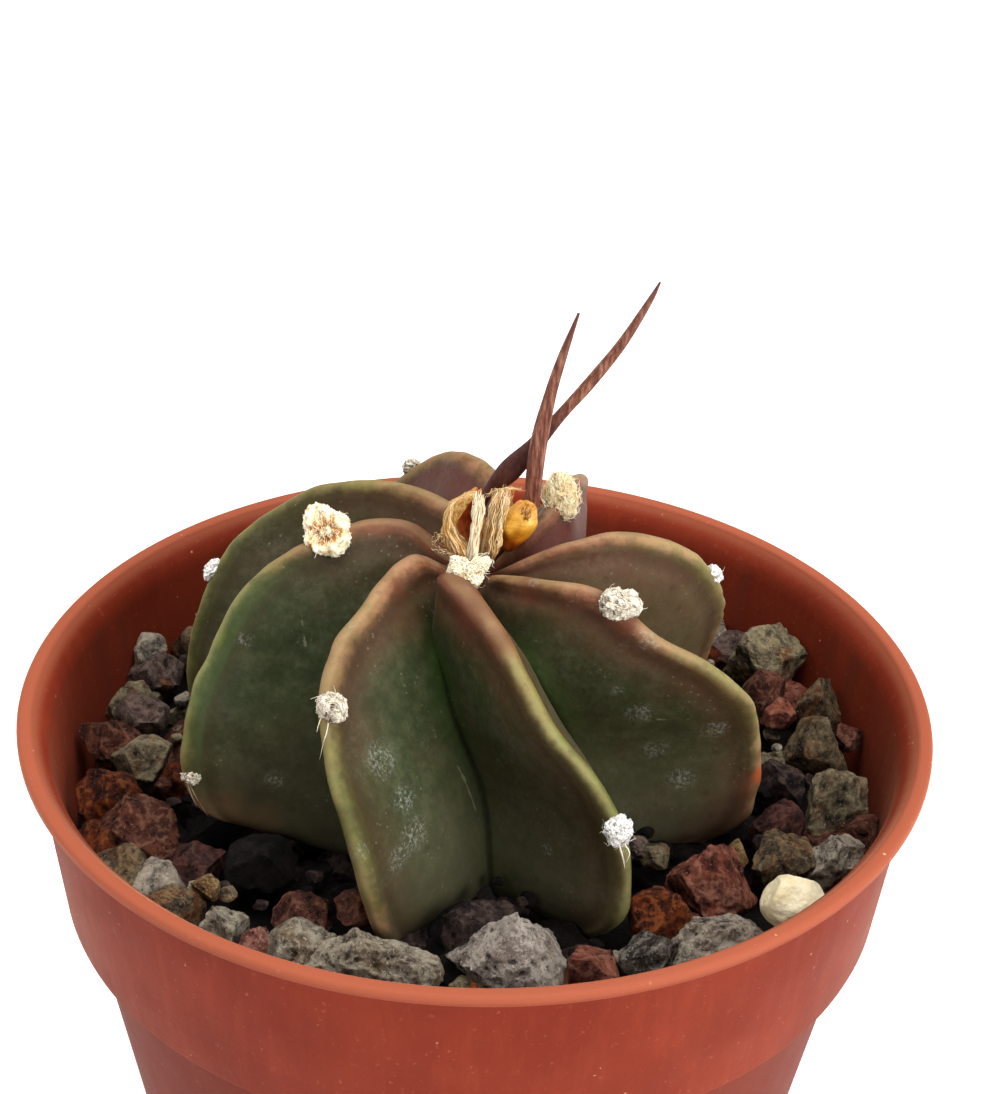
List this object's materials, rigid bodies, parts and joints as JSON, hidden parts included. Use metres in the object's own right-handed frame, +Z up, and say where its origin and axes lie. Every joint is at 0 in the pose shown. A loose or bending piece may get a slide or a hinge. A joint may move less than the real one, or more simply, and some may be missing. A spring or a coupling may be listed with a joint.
{
  "type": "potted goat's horn cactus",
  "caption": "Small cactus with thin twisted ribs, woolly areoles and horn spines, in mineral grit in a round plastic nursery pot.",
  "frame": {"origin": "centre of the pot's foot, on the surface that it stands on", "axes": "+Z up along the pot's axis; -Y is the front, where the broadest ribs and the dried flower show"},
  "size_m": [0.065, 0.065, 0.0867],
  "materials": {
    "terracotta_plastic": "satin moulded",
    "lava_grit": "rough porous",
    "cream_pumice": "rough porous",
    "cactus_flesh": "waxy satin skin",
    "areole_wool": "matted wool",
    "horn": "dull horn",
    "dry_husk": "papery",
    "amber_skin": "glossy"
  },
  "bodies": {
    "root": {"pot": "terracotta_plastic", "grit_bed": "lava_grit", "pumice_stone": "cream_pumice", "cactus_body": "cactus_flesh", "horn_spine_front": "horn", "horn_spine_back": "horn", "dry_flower": "dry_husk", "amber_capsule": "amber_skin"}
  },
  "joints": []
}
